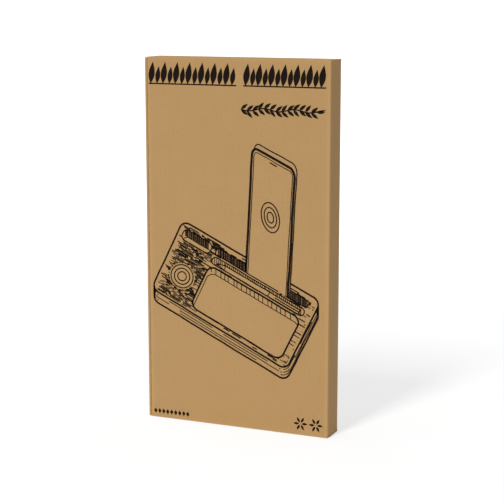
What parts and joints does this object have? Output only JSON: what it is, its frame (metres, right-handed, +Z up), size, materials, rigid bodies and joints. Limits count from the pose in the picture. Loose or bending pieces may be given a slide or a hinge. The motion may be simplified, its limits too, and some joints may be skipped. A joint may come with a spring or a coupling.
{
  "type": "boxed wireless charger organizer",
  "caption": "Slim kraft carton with a book-like hinged lid and tuck flap, holding a bamboo desk organizer with a built-in wireless charging pad.",
  "frame": {"origin": "on the floor under the middle of the standing carton", "axes": "+Z up along the carton's long side, -Y out of the printed lid, +X towards the wall that carries the lid"},
  "size_m": [0.133, 0.019, 0.25],
  "materials": {
    "kraft_board": "uncoated kraft liner",
    "kraft_board_inside": "uncoated kraft liner",
    "bamboo": "oiled, fine straight grain",
    "black_plastic": "fine spark texture",
    "rubber": "matte",
    "steel": "nickel plated",
    "copper": "enamelled copper wire",
    "ferrite": "matte",
    "circuit_board": "solder mask",
    "ceramic": "smooth",
    "clear_plastic": "clear"
  },
  "bodies": {
    "carton": {"carton_back_panel": "kraft_board", "hinge_side_wall": "kraft_board", "tuck_side_wall": "kraft_board", "top_end_wall": "kraft_board", "bottom_end_wall": "kraft_board", "hinge_wall_tab_low": "kraft_board_inside", "hinge_wall_tab_high": "kraft_board_inside", "tuck_wall_tab_low": "kraft_board_inside", "tuck_wall_tab_high": "kraft_board_inside", "bamboo_body": "bamboo", "bottom_cover": "black_plastic", "cover_screw_1": "steel", "cover_screw_2": "steel", "cover_screw_3": "steel", "cover_screw_4": "steel", "rubber_foot_1": "rubber", "rubber_foot_2": "rubber", "rubber_foot_3": "rubber", "rubber_foot_4": "rubber", "charging_coil": "copper", "ferrite_sheet": "ferrite", "circuit_board": "circuit_board", "controller_chip": "black_plastic", "bridge_transistor_1": "black_plastic", "bridge_transistor_2": "black_plastic", "bridge_transistor_3": "black_plastic", "bridge_transistor_4": "black_plastic", "power_inductor": "ferrite", "resonance_capacitor_1": "ceramic", "resonance_capacitor_2": "ceramic", "resonance_capacitor_3": "ceramic", "resonance_capacitor_4": "ceramic", "resonance_capacitor_5": "ceramic", "usb_socket_shell": "steel", "usb_socket_tongue": "black_plastic", "port_bezel": "black_plastic", "status_led": "clear_plastic", "light_pipe": "clear_plastic"},
    "lid": {"lid_panel": "kraft_board"},
    "tuck_flap": {"lid_tuck_flap": "kraft_board"}
  },
  "joints": [
    {"name": "lid_hinge", "type": "hinge", "parent": "carton", "child": "lid", "pos_m": [0.0665, -0.0095, 0.125], "axis": [0, 0, 1], "range_deg": [0, 180]},
    {"name": "tuck_flap_fold", "type": "hinge", "parent": "lid", "child": "tuck_flap", "pos_m": [-0.0646, -0.0095, 0.125], "axis": [0, 0, 1], "range_deg": [0, 45]}
  ],
  "couplings": [
    {"joint": "tuck_flap_fold", "follows": "lid_hinge", "ratio": 0.25}
  ]
}
